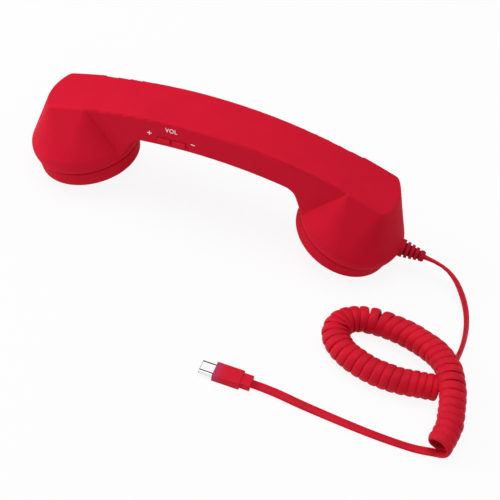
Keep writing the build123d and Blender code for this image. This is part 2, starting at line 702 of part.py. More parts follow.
def strain_relief():
    """A ribbed, tapering rubber sleeve, seated in the wall by a neck and an inner flange."""
    pitch = RELIEF_LENGTH / RELIEF_RIBS
    points = [
        (0, -RELIEF_BACK),
        (RELIEF_FLANGE, -RELIEF_BACK),
        (RELIEF_FLANGE, -RELIEF_REACH),
        (RELIEF_NECK, -RELIEF_REACH),
        (RELIEF_NECK, -RELIEF_RECESS),
        (RELIEF_ROOT, -RELIEF_RECESS),
    ]
    for i in range(RELIEF_RIBS):
        radius = RELIEF_ROOT + (RELIEF_TIP - RELIEF_ROOT) * i / (RELIEF_RIBS - 1)
        start, end = i * pitch, (i + RIB_SHARE) * pitch
        if i:
            points.append((radius, start))
        points.append((radius, end))
        if i < RELIEF_RIBS - 1:
            points += [(radius * RELIEF_CORE, end), (radius * RELIEF_CORE, start + pitch)]
    tip = (RELIEF_TIP + RELIEF_TIP * RELIEF_CORE) / 2
    points += [(tip, RELIEF_LENGTH), (0, RELIEF_LENGTH)]
    return turned(relief_plane(), points)


def mouth_cap():
    """The mouth end's cap, notched where the strain relief's flange comes down to its spigot."""
    ribs = [BOOT_RADIUS + FIT, WEIGHT_RADIUS + FIT]
    body = cap(1, sound_holes(MOUTH_HOLE, MOUTH_RINGS, MOUTH_RING_PITCH), ribs)
    return body - ring(relief_plane(), RELIEF_FLANGE + FIT, 0, -RELIEF_BACK - FIT, 0)


def rounded_path(points):
    """Straight runs joined by tangent arcs, each as large as its two runs allow, and the arcs' radii."""
    spots = [Vector(*p) for p in points]
    radii = []
    for a, b, c in zip(spots, spots[1:], spots[2:]):
        shorter = min((b - a).length, (c - b).length)
        half_turn = radians((b - a).get_angle(c - b)) / 2
        radii.append(0.45 * shorter / tan(half_turn))
    return FilletPolyline(*spots, radius=radii), radii


def wire(points):
    """One insulated wire."""
    path, _ = rounded_path(points)
    return sweep(Plane(origin=path @ 0, z_dir=path % 0) * Circle(WIRE_RADIUS), path=path)


def spread(count, middle=0.0):
    """Places across the handle for wires side by side."""
    return [middle + (i - (count - 1) / 2) * WIRE_PITCH for i in range(count)]


def in_head(side, route, across):
    """Points in a head, from how far each is out from the axis, down from the top and across."""
    plane = head_plane(side, HEAD_HEIGHT)
    return [plane.from_local_coords(Vector(out, y, -down)) for (out, down), y in zip(route, across)]


def board_end(side, y):
    """The last two points of a wire that comes down on the board near one end."""
    x = side * (BOARD_LENGTH / 2 - WIRE_MARGIN)
    plane = handle_plane(BOARD_X)
    return [plane.from_local_coords(Vector(x, y, rise - BOARD_DEPTH)) for rise in (WIRE_RISE, 0)]


def handle_run(y):
    """Points of a wire along the handle, from the mouth end's throat to the board."""
    runs = [handle_plane(THROAT_X * share, WIRE_DEPTH) for share in WIRE_RUN]
    return [plane.from_local_coords(Vector(0, y, 0)) for plane in runs] + board_end(1, y)


def speaker_wires():
    """The two wires from the back of the speaker's frame to the board."""
    joint = -MAGNET_RADIUS - SPEAKER_BACK / 2
    down = HEAD_HEIGHT - SPEAKER_FOOT - SPEAKER_DEPTH
    route = [(joint, down), (joint, down - MAGNET_HEIGHT), *SPEAKER_WIRE_ROUTE]
    lines = [in_head(-1, route, [y] * len(route)) + board_end(-1, y) for y in spread(2)]
    return Compound(children=[wire(line) for line in lines])


def microphone_wires():
    """The two wires from the back of the microphone to the board, past one side of the bosses."""
    down = HEAD_HEIGHT - PLATE_TOP - FELT - BOOT_FRONT - CAPSULE_HEIGHT
    route = [(0, down), *MICROPHONE_WIRE_ROUTE]
    lines = []
    for start, end in zip(spread(2), spread(2, BOSS_RADIUS + WIRE_SIDE + WIRE_PITCH / 2)):
        across = [start, start, (start + end) / 2]
        lines.append(in_head(1, route, across) + handle_run(end))
    return Compound(children=[wire(line) for line in lines])


def cord_wires():
    """The cord's wires, from the strain relief to the board, past the other side of the bosses."""
    middle = -BOSS_RADIUS - WIRE_SIDE - (CORD_WIRES - 1) * WIRE_PITCH / 2
    lines = []
    for start, end in zip(spread(CORD_WIRES), spread(CORD_WIRES, middle)):
        seat = relief_plane()
        points = [seat.from_local_coords(Vector(start, 0, -RELIEF_BACK * share)) for share in (1, 2)]
        points += in_head(1, CORD_WIRE_ROUTE, [start, (start + end) / 2])
        lines.append(points + handle_run(end))
    return Compound(children=[wire(line) for line in lines])


def cord_tube(points, outline, name):
    """A cord's solid: its outline carried along the rounded path, a flat one with its flat side up."""
    path, radii = rounded_path(points)
    print(name, "radii", [round(r, 1) for r in radii])
    start, along = path @ 0, path % 0
    side = along.cross(Vector(0, 0, 1)).normalized()
    section = Plane(origin=start, x_dir=side, z_dir=along) * outline
    solid = sweep(section, path=path)
    print(name, "length", round(path.length, 1), "volume", round(solid.volume, 1), end=" ")
    print("section times length", round(outline.area * path.length, 1))
    return solid


def plug_shell():
    """The plug's drawn metal tube, half of it inside the grip."""
    plane = Plane(origin=(PLUG_MOUTH_X, PLUG_Y, PLUG_AXIS_Z), x_dir=(0, 1, 0), z_dir=(1, 0, 0))
    outer = plane * SlotOverall(SHELL_WIDTH, SHELL_HEIGHT)
    inner = plane * SlotOverall(SHELL_WIDTH - 2 * SHELL_SHEET, SHELL_HEIGHT - 2 * SHELL_SHEET)
    length = SHELL_REACH + SHELL_ROOT
    return extrude(outer, amount=length) - extrude(inner, amount=length)


def plug_insert():
    """The plastic insert in the plug's mouth, with the slot that takes the socket's tongue."""
    plane = Plane(origin=(PLUG_MOUTH_X, PLUG_Y, PLUG_AXIS_Z), x_dir=(0, 1, 0), z_dir=(1, 0, 0))
    less = 2 * SHELL_SHEET + SLIP
    outline = plane * SlotOverall(SHELL_WIDTH - less, SHELL_HEIGHT - less)
    body = extrude(outline, amount=SHELL_REACH + SHELL_ROOT)
    body -= extrude(outline, amount=INSERT_RECESS)
    slot = plane * Rectangle(INSERT_SLOT_WIDTH, INSERT_SLOT)
    return body - extrude(slot, amount=INSERT_RECESS + INSERT_SLOT_DEPTH)


def plug_contacts():
    """Two rows of contact strips on the walls of the slot."""
    start = PLUG_MOUTH_X + INSERT_RECESS
    strips = []
    for level in (-1, 1):
        wall = PLUG_AXIS_Z + level * INSERT_SLOT / 2
        z = sorted((wall, wall - level * CONTACT_THICKNESS))
        for i in range(CONTACTS):
            y = PLUG_Y + (i - (CONTACTS - 1) / 2) * CONTACT_PITCH
            across = (y - CONTACT_WIDTH / 2, y + CONTACT_WIDTH / 2)
            strips.append(block(Plane.XY, (start, start + INSERT_SLOT_DEPTH), across, z))
    return Compound(children=strips)


def plug_overmould():
    """The grip and its smaller collar, moulded round the metal tube."""
    half = GRIP_WIDTH / 2
    grip = Box(GRIP_LENGTH, GRIP_WIDTH, GRIP_HEIGHT)
    grip = fillet(grip.edges().filter_by(Axis.X), GRIP_EDGE)
    ends = grip.faces().filter_by(Axis.X)
    grip = fillet([e for f in ends for e in f.edges()], GRIP_EDGE / 3)
    collar = Box(COLLAR_LENGTH + GRIP_EDGE, COLLAR_WIDTH, COLLAR_HEIGHT)
    collar = fillet(collar.edges().filter_by(Axis.X), COLLAR_EDGE)
    body = Pos(GRIP_X + GRIP_LENGTH / 2, PLUG_Y, PLUG_AXIS_Z) * grip
    collar_x = GRIP_X + GRIP_LENGTH + (COLLAR_LENGTH - GRIP_EDGE) / 2
    body += Pos(collar_x, PLUG_Y, PLUG_AXIS_Z) * collar
    plane = Plane(origin=(GRIP_X, PLUG_Y, PLUG_AXIS_Z), x_dir=(0, 1, 0), z_dir=(1, 0, 0))
    return body - extrude(plane * SlotOverall(SHELL_WIDTH, SHELL_HEIGHT), amount=SHELL_ROOT)


def pieces():
    """Every piece of the handset by its name."""
    outer_form = rounded_form()
    inner_form = whole_form(WALL, SHELL_FOOT - TRIM)
    speaker_ribs = [SPEAKER_RADIUS + FIT]
    ear, mouth = head_plane(-1), head_plane(1)
    boot_foot = PLATE_TOP + FELT
    magnet_foot = SPEAKER_FOOT + SPEAKER_DEPTH
    capsule_foot = boot_foot + BOOT_FRONT
    weight_hole = BOOT_RADIUS + FIT + RIB + FIT
    flat_cord = SlotOverall(CORD_WIDTH, CORD_THICKNESS)
    named = {
        "handset_shell": handset_shell(outer_form, inner_form),
        "inner_cover": inner_cover(),
        "ear_cap": cap(-1, sound_holes(EAR_HOLE, EAR_RINGS, EAR_RING_PITCH), speaker_ribs),
        "mouth_cap": mouth_cap(),
        "ear_felt": ring(ear, SPEAKER_RADIUS - FIT, 0, PLATE_TOP, PLATE_TOP + FELT),
        "speaker_frame": speaker_frame(),
        "speaker_cone": speaker_cone(),
        "speaker_magnet": ring(ear, MAGNET_RADIUS, 0, magnet_foot, magnet_foot + MAGNET_HEIGHT),
        "mouth_felt": ring(mouth, BOOT_RADIUS - FIT, 0, PLATE_TOP, PLATE_TOP + FELT),
        "microphone_boot": microphone_boot(),
        "microphone_capsule": ring(mouth, CAPSULE_RADIUS, 0, capsule_foot, capsule_foot + CAPSULE_HEIGHT),
        "mouth_weight": ring(mouth, WEIGHT_RADIUS, weight_hole, PLATE_TOP, PLATE_TOP + WEIGHT_HEIGHT),
        "circuit_board": circuit_board(),
        "board_screws": board_screws(),
        "cover_screws": cover_screws(),
        "answer_key": answer_key(),
        "answer_switch": answer_switch(),
        "strain_relief": strain_relief(),
        "speaker_wires": speaker_wires(),
        "microphone_wires": microphone_wires(),
        "cord_wires": cord_wires(),
        "cord_lead": cord_tube(LEAD_POINTS, flat_cord, "lead"),
        "cord_curl": cord_tube(CURL_POINTS, Circle(CURL_DIAMETER / 2), "curl"),
        "cord_tail": cord_tube(TAIL_POINTS, flat_cord, "tail"),
        "plug_overmould": plug_overmould(),
        "plug_shell": plug_shell(),
        "plug_insert": plug_insert(),
        "plug_contacts": plug_contacts(),
    }
    for name, x in key_places().items():
        named[name] = volume_key(x)
        named[name.replace("key", "switch")] = volume_switch(x)
    return named


for name, shape in pieces().items():
    export_step(shape, f"parts/{name}.step")
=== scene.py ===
"""A red telephone handset with a curly cord and a small plug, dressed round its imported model."""

from __future__ import annotations

import logging
from collections.abc import Mapping, Sequence
from dataclasses import dataclass
from enum import Enum
from typing import Any

import bpy
import numpy as np
from mathutils import Matrix, Vector

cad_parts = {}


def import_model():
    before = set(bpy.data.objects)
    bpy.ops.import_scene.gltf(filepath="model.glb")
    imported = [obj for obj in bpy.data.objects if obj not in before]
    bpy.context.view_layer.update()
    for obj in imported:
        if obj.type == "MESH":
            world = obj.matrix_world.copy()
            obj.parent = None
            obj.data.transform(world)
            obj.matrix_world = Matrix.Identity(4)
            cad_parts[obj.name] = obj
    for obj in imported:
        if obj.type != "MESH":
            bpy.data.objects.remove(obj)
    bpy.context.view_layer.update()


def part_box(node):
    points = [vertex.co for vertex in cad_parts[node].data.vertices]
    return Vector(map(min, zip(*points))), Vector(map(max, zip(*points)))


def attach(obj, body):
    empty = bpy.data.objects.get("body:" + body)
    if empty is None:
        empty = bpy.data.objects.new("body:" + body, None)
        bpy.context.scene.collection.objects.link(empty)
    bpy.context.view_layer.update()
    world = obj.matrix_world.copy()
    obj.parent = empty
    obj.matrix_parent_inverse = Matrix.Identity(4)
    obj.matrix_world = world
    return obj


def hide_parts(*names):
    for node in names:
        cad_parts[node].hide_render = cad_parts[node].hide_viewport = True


log = logging.getLogger("handset")

MM = 0.001
Triple = tuple[float, float, float]
Span = tuple[float, float]
Points = np.ndarray

UPRIGHT = (0.0, 0.0, 1.0)
WHITE = (1.0, 1.0, 1.0)
BLACK = (0.0, 0.0, 0.0)
MEAN_NOISE = 0.5
MIX_SHARE, MIX_LOW, MIX_HIGH, MIX_RESULT = 0, 6, 7, 2


def linear(red: int, green: int, blue: int) -> Triple:
    """A display colour of 0 to 255 as linear light.

    Args:
        red: the red share.
        green: the green share.
        blue: the blue share.

    Returns:
        The linear colour. Each share c of 0 to 1 becomes ((c + 0.055) / 1.055) to the power of 2.4, and
        c / 12.92 where it is 0.04045 or less.
    """
    shares = np.array([red, green, blue]) / 255
    light = np.where(shares > 0.04045, ((shares + 0.055) / 1.055) ** 2.4, shares / 12.92)
    return tuple(float(c) for c in light)


def shaded(colour: Triple, factor: float) -> Triple:
    """A colour times a factor, with no share over 1."""
    return tuple(min(1.0, c * factor) for c in colour)


class Signal:
    """A socket of a material's node tree, with arithmetic that adds Math nodes."""

    def __init__(self, graph: Graph, socket: bpy.types.NodeSocket) -> None:
        """Wraps a socket of a graph."""
        self.graph = graph
        self.socket = socket

    def math(self, operation: str, *values: Signal | float) -> Signal:
        """One Math node.

        Args:
            operation: the node's operation.
            values: what its sockets take, in order.

        Returns:
            The node's value.
        """
        sockets = dict(enumerate(values))
        return self.graph.node("ShaderNodeMath", {"operation": operation}, sockets)

    def __add__(self, other: Signal | float) -> Signal:
        """The sum."""
        return self.math("ADD", self, other)

    __radd__ = __add__

    def __sub__(self, other: Signal | float) -> Signal:
        """The difference."""
        return self.math("SUBTRACT", self, other)

    def __rsub__(self, other: float) -> Signal:
        """The difference from a number."""
        return self.math("SUBTRACT", other, self)

    def __mul__(self, other: Signal | float) -> Signal:
        """The product."""
        return self.math("MULTIPLY", self, other)

    __rmul__ = __mul__

    def __abs__(self) -> Signal:
        """The value without its sign."""
        return self.math("ABSOLUTE", self)

    def most(self, other: Signal | float) -> Signal:
        """The larger of two values."""
        return self.math("MAXIMUM", self, other)

    def swing(self, width: float) -> Signal:
        """Noise about one half as a swing about zero, with this full width."""
        return (self - MEAN_NOISE) * width

    def mixed(self, other: Signal, share: float) -> Signal:
        """This value and another, where this one has the given share of the whole."""
        return self * share + other * (1 - share)

    def between(self, low: float, high: float) -> Signal:
        """Rises smoothly from 0 at low to 1 at high.

        Args:
            low: the value that gives 0.
            high: the value that gives 1.

        Returns:
            The clamped and smoothed share.
        """
        sockets = {"Value": self, "From Min": low, "From Max": high}
        return self.graph.node("ShaderNodeMapRange", {"interpolation_type": "SMOOTHSTEP"}, sockets)


class Graph:
    """A material's node tree, filled through Python expressions."""

    def __init__(self, name: str) -> None:
        """Makes a material with a bare Principled surface."""
        self.material = bpy.data.materials.new(name)
        self.material.use_nodes = True
        self.tree = self.material.node_tree
        self.tree.nodes.clear()
        self.shader = self.tree.nodes.new("ShaderNodeBsdfPrincipled")
        self.output("ShaderNodeOutputMaterial", self.skin())

    @classmethod
    def of(cls, tree: bpy.types.NodeTree) -> Graph:
        """A graph round a tree that is there already, emptied first."""
        graph = cls.__new__(cls)
        graph.tree = tree
        tree.nodes.clear()
        return graph

    def skin(self) -> Signal:
        """The Principled surface's own shader."""
        return Signal(self, self.shader.outputs[0])

    def output(self, kind: str, shader: Signal) -> None:
        """Links a shader to the tree's output node of a kind, which is added where there is none."""
        found = [made for made in self.tree.nodes if made.bl_idname == kind]
        last = found[0] if found else self.tree.nodes.new(kind)
        self.feed(last.inputs["Surface"], shader)

    def node(
        self,
        kind: str,
        settings: Mapping[str, Any] | None = None,
        sockets: Mapping[str | int, Any] | None = None,
        outlet: str | int = 0,
    ) -> Signal:
        """Adds any node.

        Args:
            kind: the node's type.
            settings: its settings, which are set first.
            sockets: values or signals for its sockets.
            outlet: the output that is wanted.

        Returns:
            That output.
        """
        made = self.tree.nodes.new(kind)
        for name, value in (settings or {}).items():
            setattr(made, name, value)
        for key, value in (sockets or {}).items():
            self.feed(made.inputs[key], value)
        return Signal(self, made.outputs[outlet])

    def feed(self, socket: bpy.types.NodeSocket, value: Any) -> None:
        """Links a signal to a socket, or sets its number, vector or colour."""
        if isinstance(value, Signal):
            self.tree.links.new(value.socket, socket)
        elif socket.type == "RGBA":
            socket.default_value = (*value, 1.0)
        else:
            socket.default_value = value

    def vector(self, operation: str, *values: Signal | Triple, outlet: str = "Vector") -> Signal:
        """One Vector Math node.

        Args:
            operation: the node's operation.
            values: what its sockets take, in order.
            outlet: the output that is wanted.

        Returns:
            That output.
        """
        return self.node("ShaderNodeVectorMath", {"operation": operation}, dict(enumerate(values)), outlet)

    def place(self, which: str = "Object") -> Signal:
        """The surface's own coordinates, of the named kind."""
        return self.node("ShaderNodeTexCoord", outlet=which)

    def axis(self, letter: str, which: str = "Object") -> Signal:
        """The surface's own coordinate along X, Y or Z."""
        return self.node("ShaderNodeSeparateXYZ", None, {"Vector": self.place(which)}, letter)

    def noise(self, waves: float, detail: float = 2.0, where: Signal | None = None) -> Signal:
        """Cloudy noise.

        Args:
            waves: how many waves there are in a metre.
            detail: how many finer layers it has.
            where: the coordinates, or none for the object's own.

        Returns:
            A value about one half.
        """
        sockets = {"Vector": where or self.place(), "Scale": waves, "Detail": detail}
        return self.node("ShaderNodeTexNoise", None, sockets)

    def streaks(self, waves: Triple, detail: float, which: str = "Object") -> Signal:
        """Noise that is drawn out.

        Args:
            waves: how many waves there are in a metre along each axis.
            detail: how many finer layers it has.
            which: the kind of coordinates.

        Returns:
            A value about one half.
        """
        where = self.node("ShaderNodeMapping", None, {"Vector": self.place(which), "Scale": waves})
        return self.noise(1.0, detail, where)

    def blend(self, share: Signal | float, low: Triple | Signal, high: Triple | Signal) -> Signal:
        """A colour between two. The Mix node's sockets go by number, since its kinds share their names.

        Args:
            share: 0 gives the first and 1 the second.
            low: the first colour.
            high: the second colour.

        Returns:
            The mixed colour.
        """
        sockets = {MIX_SHARE: share, MIX_LOW: low, MIX_HIGH: high}
        return self.node("ShaderNodeMix", {"data_type": "RGBA"}, sockets, MIX_RESULT)

    def bump(self, height: Signal, depth: float) -> Signal:
        """A normal from a height.

        Args:
            height: the height, of about 0 to 1.
            depth: the real depth of that height, in metres.

        Returns:
            The normal.
        """
        return self.node("ShaderNodeBump", None, {"Height": height, "Distance": depth, "Strength": 1.0})

    def surface(self, **sockets: Any) -> bpy.types.Material:
        """Sets the Principled node's sockets.

        Args:
            sockets: values or signals, by the socket's name with underscores for spaces.

        Returns:
            The finished material.
        """
        for name, value in sockets.items():
            self.feed(self.shader.inputs[name.replace("_", " ")], value)
        return self.material


# In the finishes, waves are counted in a metre, a span is where a share rises from 0 to 1, and a swing
# is the full width by which a noise moves a value.


class Grain(Enum):
    """How fine the surface of a moulded piece is, as waves in a metre and their depth."""

    SATIN = (2600.0, 0.016 * MM)
    SMOOTH = (1500.0, 0.006 * MM)
    COARSE = (1100.0, 0.05 * MM)

    def bump(self, graph: Graph) -> Signal:
        """The normal that the grain gives."""
        waves, depth = self.value
        return graph.bump(graph.noise(waves, 1.0), depth)


@dataclass(frozen=True)
class MouldedPlastic:
    """Moulded plastic: one colour with faint flow marks and a fine grain."""

    name: str
    colour: Triple
    roughness: float = 0.5
    grain: Grain = Grain.SATIN
    coat: float = 0.0
    mottle: float = 0.022
    gloss: float = 0.05
    coat_roughness: float = 0.3

    CLOUD_WAVES = 35.0
    CLOUD_DETAIL = 3.0
    CLOUD_SPAN = (0.3, 0.7)
    CLOUD_SWING = 0.05
    SPECK_SHARE = 0.3
    SPECK_SPAN = (0.35, 0.7)
    SPECK_SWING = 0.06

    def material(self) -> bpy.types.Material:
        """Builds the finish.

        Returns:
            The material: broad clouds move the colour and the roughness, specks of a few grains move the
            roughness too, and the grain gives the bump.
        """
        graph = Graph(self.name)
        clouds = graph.noise(self.CLOUD_WAVES, self.CLOUD_DETAIL)
        specks = graph.noise(self.grain.value[0] * self.SPECK_SHARE).between(*self.SPECK_SPAN)
        dark, light = shaded(self.colour, 1 - self.mottle * 2), shaded(self.colour, 1 + self.mottle)
        return graph.surface(
            Base_Color=graph.blend(clouds.between(*self.CLOUD_SPAN), dark, light),
            Roughness=self.roughness + clouds.swing(self.CLOUD_SWING) + specks.swing(self.SPECK_SWING),
            Normal=self.grain.bump(graph),
            Coat_Weight=self.coat,
            Coat_Roughness=self.coat_roughness,
            Specular_IOR_Level=self.gloss,
        )


@dataclass(frozen=True)
class RibbedRubber:
    """Soft rubber round a tapered stem, with painted shade darker down in the grooves between its ribs.

    The tip is the end of the stem, from which it runs back and up by the drop, in degrees.
    """

    name: str
    colour: Triple
    # painted shade: the dark colour down in the grooves, where shade falls
    groove_shade: Triple
    tip: Triple
    drop: float = 6.0
    length: float = 13.4 * MM
    root_radius: float = 5.0 * MM
    tip_radius: float = 3.1 * MM
    floor_depth: float = 1.0 * MM
    lip_depth: float = 0.35 * MM
    roughness: float = 0.6
    gloss: float = 0.08

    CLOUD_WAVES = 200.0
    GROOVE_SHADE_SWING = 0.2
    ROUGHNESS_SWING = 0.1

    def material(self) -> bpy.types.Material:
        """Builds the finish.

        Returns:
            The material: painted shade darkens a point where it lies below the straight line from the root's
            radius to the tip's, measured square to the stem, as shade falls down in the grooves between the
            ribs.
        """
        graph = Graph(self.name)
        angle = np.radians(self.drop)
        stem = (float(np.cos(angle)), 0.0, float(-np.sin(angle)))
        offset = graph.vector("SUBTRACT", graph.place(), self.tip)
        back = graph.vector("DOT_PRODUCT", offset, stem, outlet="Value")
        away = graph.vector("LENGTH", graph.vector("CROSS_PRODUCT", offset, stem), outlet="Value")
        rib = self.tip_radius - back * ((self.root_radius - self.tip_radius) / self.length)
        # painted shade, darkest down in the grooves between the ribs
        groove_shade = 1 - (away - rib).between(-self.floor_depth, -self.lip_depth)
        clouds = graph.noise(self.CLOUD_WAVES)
        return graph.surface(
            Base_Color=graph.blend(groove_shade * (1 + clouds.swing(self.GROOVE_SHADE_SWING)), self.colour, self.groove_shade),
            Roughness=self.roughness + clouds.swing(self.ROUGHNESS_SWING),
            Normal=Grain.SMOOTH.bump(graph),
            Specular_IOR_Level=self.gloss,
        )


@dataclass(frozen=True)
class CordJacket:
    """The cord's soft jacket, drawn lengthwise, so its marks follow the cord."""

    name: str
    colour: Triple
    roughness: float = 0.55
    gloss: float = 0.12
    bump_depth: float = 0.03 * MM

    LINE_WAVES = (60.0, 2200.0, 1.0)
    LINE_DETAIL = 2.0
    LINE_SHARE = 0.6
    LINE_SWING = 0.14
    CLOUD_WAVES = 90.0
    CLOUD_SPAN = (0.3, 0.7)
    SKIN_WAVES = 3000.0
    DARKEST = 0.9
    LIGHTEST = 1.05

    def material(self) -> bpy.types.Material:
        """Builds the finish.

        Returns:
            The material: noise stretched along the cord gives the drawing marks.
        """
        graph = Graph(self.name)
        lines = graph.streaks(self.LINE_WAVES, self.LINE_DETAIL, "UV")
        clouds = graph.noise(self.CLOUD_WAVES)
        skin = graph.noise(self.SKIN_WAVES, 1.0)
        dark, light = shaded(self.colour, self.DARKEST), shaded(self.colour, self.LIGHTEST)
        height = lines.mixed(skin, self.LINE_SHARE)
        return graph.surface(
            Base_Color=graph.blend(clouds.between(*self.CLOUD_SPAN), dark, light),
            Roughness=self.roughness + lines.swing(self.LINE_SWING),
            Normal=graph.bump(height, self.bump_depth),
            Specular_IOR_Level=self.gloss,
        )


@dataclass(frozen=True)
class Metal:
    """Bare or plated metal, brushed along one axis."""

    name: str
    colour: Triple
    roughness: float = 0.28
    bump_depth: float = 0.004 * MM

    MARK_WAVES = (120.0, 4000.0, 4000.0)
    MARK_DETAIL = 3.0
    MARK_SWING = 0.16
    CLOUD_WAVES = 160.0
    CLOUD_SPAN = (0.25, 0.75)
    DARKEST = 0.86

    def material(self) -> bpy.types.Material:
        """Builds the finish.

        Returns:
            The material: long thin noise gives the brush marks.
        """
        graph = Graph(self.name)
        marks = graph.streaks(self.MARK_WAVES, self.MARK_DETAIL)
        clouds = graph.noise(self.CLOUD_WAVES).between(*self.CLOUD_SPAN)
        return graph.surface(
            Base_Color=graph.blend(clouds, shaded(self.colour, self.DARKEST), self.colour),
            Metallic=1.0,
            Roughness=self.roughness + marks.swing(self.MARK_SWING),
            Normal=graph.bump(marks, self.bump_depth),
        )


@dataclass(frozen=True)
class DrawnShell:
    """A plug's bright drawn shell, with painted dark reflections along its rounded edges and low on its
    sides, and darker across its rim.

    The front is the rim's place along X and the middle is the shell's along Y, and each painted reflection
    line starts and ends, each over a short span, at distances to either side of that middle.
    """

    name: str
    colour: Triple
    # the dark colour painted for reflections along the edges and low on the sides, and across the rim
    edge: Triple
    front: float
    middle: float
    roughness: float = 0.16
    gloss: float = 0.1
    rim: float = 0.35 * MM
    painted_reflection_starts: Span = (2.4 * MM, 2.7 * MM)
    painted_reflection_ends: Span = (3.2 * MM, 3.5 * MM)
    bump_depth: float = 0.003 * MM

    LOW_REFLECTION_SPAN = (-0.4, -0.2)
    RIM_DARKNESS = 0.7
    DULLED = 0.9
    MARK_WAVES = (300.0, 5000.0, 5000.0)
    MARK_DETAIL = 3.0
    MARK_SWING = 0.1

    def material(self) -> bpy.types.Material:
        """Builds the finish.

        Returns:
            The material: painted reflections make the shell darker along a line between the flat face and
                the side,
            and low down on the side, where its normal points down; it is darker close to the rim too.
        """
        graph = Graph(self.name)
        across = abs(graph.axis("Y") - self.middle)
        # painted reflection: a dark line between the flat face and the side, as if a dark band were mirrored
        # there
        bend = across.between(*self.painted_reflection_starts) * (1 - across.between(*self.painted_reflection_ends))
        # painted reflection: the side darkens where its normal points down, as if it mirrored the shaded
        # floor
        low = 1 - graph.axis("Z", "Normal").between(*self.LOW_REFLECTION_SPAN)
        rim = 1 - graph.axis("X").between(self.front + self.rim / 2, self.front + self.rim)
        # the painted reflections and the darker rim together, which also dull the metal
        dark = bend.most(low).most(rim * self.RIM_DARKNESS)
        marks = graph.streaks(self.MARK_WAVES, self.MARK_DETAIL)
        return graph.surface(
            Base_Color=graph.blend(dark, self.colour, self.edge),
            Metallic=1 - dark * self.DULLED,
            Specular_IOR_Level=self.gloss,
            Roughness=self.roughness + marks.swing(self.MARK_SWING),
            Normal=graph.bump(marks, self.bump_depth),
        )


@dataclass(frozen=True)
class GripPlastic:
    """The plug's moulded grip, with a painted pale reflection of the metal over its reach behind the front.
    """

    name: str
    colour: Triple
    # the colour of the painted reflection at the front end
    pale: Triple
    front: float
    reach: float = 6.0 * MM
    painted_reflection_share: float = 0.75
    roughness: float = 0.5
    gloss: float = 0.1

    CLOUD_WAVES = 400.0
    PAINTED_REFLECTION_SWING = 0.6
    ROUGHNESS_SWING = 0.1

    def material(self) -> bpy.types.Material:
        """Builds the finish.

        Returns:
            The material: the painted pale reflection falls off smoothly from the front end over the reach.
        """
        graph = Graph(self.name)
        # painted reflection: the grip pales towards its front end, beside the bright metal
        share = 1 - graph.axis("X").between(self.front, self.front + self.reach)
        clouds = graph.noise(self.CLOUD_WAVES)
        pale = share * (self.painted_reflection_share + clouds.swing(self.PAINTED_REFLECTION_SWING))
        return graph.surface(
            Base_Color=graph.blend(pale, self.colour, self.pale),
            Roughness=self.roughness + clouds.swing(self.ROUGHNESS_SWING),
            Normal=Grain.SMOOTH.bump(graph),
            Specular_IOR_Level=self.gloss,
        )


@dataclass(frozen=True)
class Felt:
    """Pressed felt: matted fibres with no gloss."""

    name: str
    colour: Triple
    light: Triple
    roughness: float = 0.95
    sheen: float = 0.3
    gloss: float = 0.1
    bump_depth: float = 0.12 * MM

    ALONG_WAVES = (900.0, 5200.0, 3000.0)
    ACROSS_WAVES = (5200.0, 900.0, 3000.0)
    ALONG_SHARE = 0.5
    FIBRE_DETAIL = 4.0
    FIBRE_SPAN = (0.35, 0.65)

    def material(self) -> bpy.types.Material:
        """Builds the finish.

        Returns:
            The material: two noises of unlike stretch cross like fibres.
        """
        graph = Graph(self.name)
        along = graph.streaks(self.ALONG_WAVES, self.FIBRE_DETAIL)
        across = graph.streaks(self.ACROSS_WAVES, self.FIBRE_DETAIL)
        fibres = along.mixed(across, self.ALONG_SHARE)
        return graph.surface(
            Base_Color=graph.blend(fibres.between(*self.FIBRE_SPAN), self.colour, self.light),
            Roughness=self.roughness,
            Normal=graph.bump(fibres, self.bump_depth),
            Sheen_Weight=self.sheen,
            Specular_IOR_Level=self.gloss,
        )


@dataclass(frozen=True)
class BoardLaminate:
    """A circuit board's lacquer over copper tracks."""

    name: str
    lacquer: Triple
    track: Triple
    roughness: float = 0.34
    bump_depth: float = 0.03 * MM

    TRACKS = {"Scale": 180.0, "Mortar Size": 0.035, "Brick Width": 1.1, "Row Height": 0.28}
    TRACK_OFFSET = 0.37
    TRACK_STRENGTH = 0.8
    TRACK_SHARE = 0.7
    WEAVE_WAVES = (2400.0, 2400.0, 200.0)
    WEAVE_SWING = 0.1

    def material(self) -> bpy.types.Material:
        """Builds the finish.

        Returns:
            The material: bricks turned into narrow lines stand for the tracks under the lacquer.
        """
        graph = Graph(self.name)
        sockets = {"Vector": graph.place(), "Color1": BLACK, "Color2": BLACK, "Mortar": WHITE, **self.TRACKS}
        tracks = graph.node("ShaderNodeTexBrick", {"offset": self.TRACK_OFFSET}, sockets, "Fac")
        weave = graph.streaks(self.WEAVE_WAVES, 1.0)
        height = tracks.mixed(weave, self.TRACK_SHARE)
        return graph.surface(
            Base_Color=graph.blend(tracks * self.TRACK_STRENGTH, self.lacquer, self.track),
            Roughness=self.roughness + weave.swing(self.WEAVE_SWING),
            Normal=graph.bump(height, self.bump_depth),
        )


def paint(material: bpy.types.Material, *names: str) -> None:
    """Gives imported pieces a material.

    Args:
        material: the finish.
        names: the pieces' names.
    """
    for name in names:
        mesh = bpy.data.objects[name].data
        mesh.materials.clear()
        mesh.materials.append(material)
        log.info("%s wears %s", name, material.name)


def in_metres(points: Sequence[Sequence[float]]) -> Points:
    """Points in millimetres as an array in metres."""
    return np.array(points, float) * MM


def unit(vectors: Points) -> Points:
    """Each row at length one."""
    return vectors / np.linalg.norm(vectors, axis=-1, keepdims=True)


def run_along(line: Points) -> Points:
    """How far along a line each of its points lies, in metres."""
    return np.concatenate([[0.0], np.cumsum(np.linalg.norm(np.diff(line, axis=0), axis=1))])


